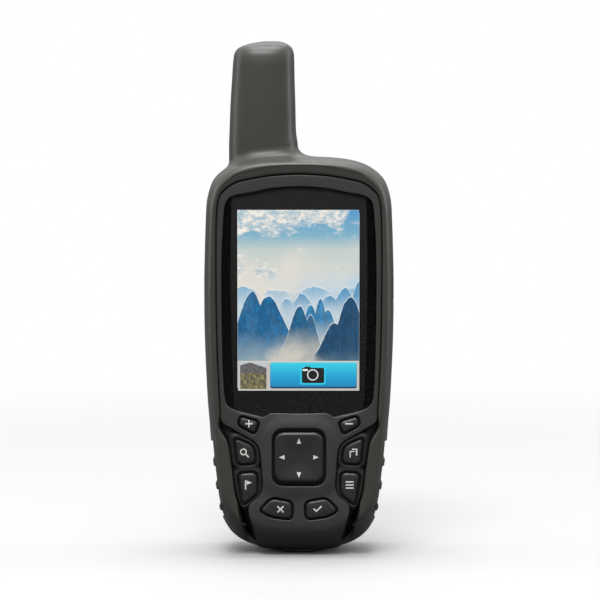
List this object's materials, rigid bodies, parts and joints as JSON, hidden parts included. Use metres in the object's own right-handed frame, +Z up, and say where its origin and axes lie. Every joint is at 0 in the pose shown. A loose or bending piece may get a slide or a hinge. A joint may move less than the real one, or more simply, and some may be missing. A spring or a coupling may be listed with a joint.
{
  "type": "handheld gps unit",
  "caption": "Upright handheld satellite navigator with display, side stub antenna, press keys, tilting rocker pad and a latched battery door",
  "frame": {"origin": "middle of the base, on the surface that the unit stands on", "axes": "+Z up towards the antenna, -Y out of the display, +X to the right of the display as it is read"},
  "size_m": [0.0594, 0.036, 0.1606],
  "materials": {
    "shell_plastic": "fine moulded texture, warm dark grey",
    "bezel_plastic": "satin dark grey",
    "grip_rubber": "matte overmoulded rubber",
    "seal_rubber": "matte black",
    "key_rubber": "soft satin key caps with printed symbols",
    "window_panel": "glossy window, black border ink",
    "display": "colour display, lit",
    "frame_metal": "thin plated sheet",
    "screw_steel": "satin steel",
    "latch_metal": "dark satin steel",
    "flex_film": "amber film",
    "inner_plastic": "black moulded plastic",
    "cell_jacket": "plain printed foil jacket",
    "board_green": "solder mask",
    "antenna_former": "pale plastic former",
    "copper": "bare copper tape",
    "brass_plated": "gold plated brass",
    "camera_glass": "coated lens cover",
    "flash_lens": "frosted lamp lens"
  },
  "bodies": {
    "housing": {"rear_housing": "shell_plastic", "front_housing": "bezel_plastic", "grip_left": "grip_rubber", "grip_right": "grip_rubber", "housing_gasket": "seal_rubber", "housing_screws": "screw_steel", "window_lens": "window_panel", "lens_adhesive": "seal_rubber", "lcd_panel": "display", "lcd_frame": "frame_metal", "lcd_flex": "flex_film", "rocker_bearing": "inner_plastic", "keypad_membrane": "seal_rubber", "key_switches": "frame_metal", "power_switch": "inner_plastic", "aa_cell_left": "cell_jacket", "aa_cell_right": "cell_jacket", "contact_springs": "frame_metal", "contact_plates": "frame_metal", "main_board": "board_green", "shield_cans": "frame_metal", "board_screws": "screw_steel", "board_chips": "inner_plastic", "antenna_core": "antenna_former", "antenna_helix": "copper", "antenna_lead": "seal_rubber", "mount_spine": "shell_plastic", "spine_screws": "screw_steel", "camera_module": "inner_plastic", "camera_window": "camera_glass", "flash_window": "flash_lens", "usb_socket": "frame_metal", "antenna_jack": "brass_plated", "card_holder": "frame_metal", "memory_card": "inner_plastic", "speaker": "inner_plastic", "coin_cell": "screw_steel"},
    "zoom_in_key": {"key_zoom_in": "key_rubber"},
    "zoom_out_key": {"key_zoom_out": "key_rubber"},
    "find_key": {"key_find": "key_rubber"},
    "mark_key": {"key_mark": "key_rubber"},
    "page_key": {"key_page": "key_rubber"},
    "menu_key": {"key_menu": "key_rubber"},
    "quit_key": {"key_quit": "key_rubber"},
    "enter_key": {"key_enter": "key_rubber"},
    "rocker_gimbal": {"rocker_pivot": "screw_steel"},
    "rocker": {"rocker_pad": "key_rubber"},
    "power_key": {"power_button": "key_rubber"},
    "battery_door": {"battery_cover": "shell_plastic", "battery_seal": "seal_rubber"},
    "latch": {"latch_hub": "latch_metal", "latch_cam": "screw_steel"},
    "pull_ring": {"latch_ring": "latch_metal"},
    "usb_flap": {"usb_cap": "grip_rubber"},
    "antenna_flap": {"antenna_cap": "grip_rubber"}
  },
  "joints": [
    {"name": "zoom_in_press", "type": "slide", "parent": "housing", "child": "zoom_in_key", "axis": [0, 1, 0], "range_m": [0, 0.0006], "stiffness_N_per_m": 2500},
    {"name": "zoom_out_press", "type": "slide", "parent": "housing", "child": "zoom_out_key", "axis": [0, 1, 0], "range_m": [0, 0.0006], "stiffness_N_per_m": 2500},
    {"name": "find_press", "type": "slide", "parent": "housing", "child": "find_key", "axis": [0, 1, 0], "range_m": [0, 0.0006], "stiffness_N_per_m": 2500},
    {"name": "mark_press", "type": "slide", "parent": "housing", "child": "mark_key", "axis": [0, 1, 0], "range_m": [0, 0.0006], "stiffness_N_per_m": 2500},
    {"name": "page_press", "type": "slide", "parent": "housing", "child": "page_key", "axis": [0, 1, 0], "range_m": [0, 0.0006], "stiffness_N_per_m": 2500},
    {"name": "menu_press", "type": "slide", "parent": "housing", "child": "menu_key", "axis": [0, 1, 0], "range_m": [0, 0.0006], "stiffness_N_per_m": 2500},
    {"name": "quit_press", "type": "slide", "parent": "housing", "child": "quit_key", "axis": [0, 1, 0], "range_m": [0, 0.0006], "stiffness_N_per_m": 2500},
    {"name": "enter_press", "type": "slide", "parent": "housing", "child": "enter_key", "axis": [0, 1, 0], "range_m": [0, 0.0006], "stiffness_N_per_m": 2500},
    {"name": "rocker_tilt_up_down", "type": "hinge", "parent": "housing", "child": "rocker_gimbal", "pos_m": [0, -0.011, 0.0317], "axis": [1, 0, 0], "range_deg": [-3, 3], "stiffness_Nm_per_rad": 0.1},
    {"name": "rocker_tilt_left_right", "type": "hinge", "parent": "rocker_gimbal", "child": "rocker", "pos_m": [0, -0.011, 0.0317], "axis": [0, 0, 1], "range_deg": [-3, 3], "stiffness_Nm_per_rad": 0.1},
    {"name": "power_press", "type": "slide", "parent": "housing", "child": "power_key", "axis": [-1, 0, 0], "range_m": [0, 0.0006], "stiffness_N_per_m": 2500},
    {"name": "battery_door_lift", "type": "slide", "parent": "housing", "child": "battery_door", "axis": [0, 1, 0], "range_m": [0, 0.045]},
    {"name": "latch_turn", "type": "hinge", "parent": "battery_door", "child": "latch", "pos_m": [0, 0.012, 0.016], "axis": [0, 1, 0], "range_deg": [0, 90]},
    {"name": "pull_ring_fold", "type": "hinge", "parent": "latch", "child": "pull_ring", "pos_m": [0, 0.0142, 0.016], "axis": [1, 0, 0], "range_deg": [0, 100]},
    {"name": "usb_flap_hinge", "type": "hinge", "parent": "housing", "child": "usb_flap", "pos_m": [0.013, 0.01545, 0.0999], "axis": [1, 0, 0], "range_deg": [0, 110], "stiffness_Nm_per_rad": 0.003},
    {"name": "antenna_flap_hinge", "type": "hinge", "parent": "housing", "child": "antenna_flap", "pos_m": [0.0126, 0.01545, 0.1121], "axis": [1, 0, 0], "range_deg": [0, 110], "stiffness_Nm_per_rad": 0.003}
  ]
}
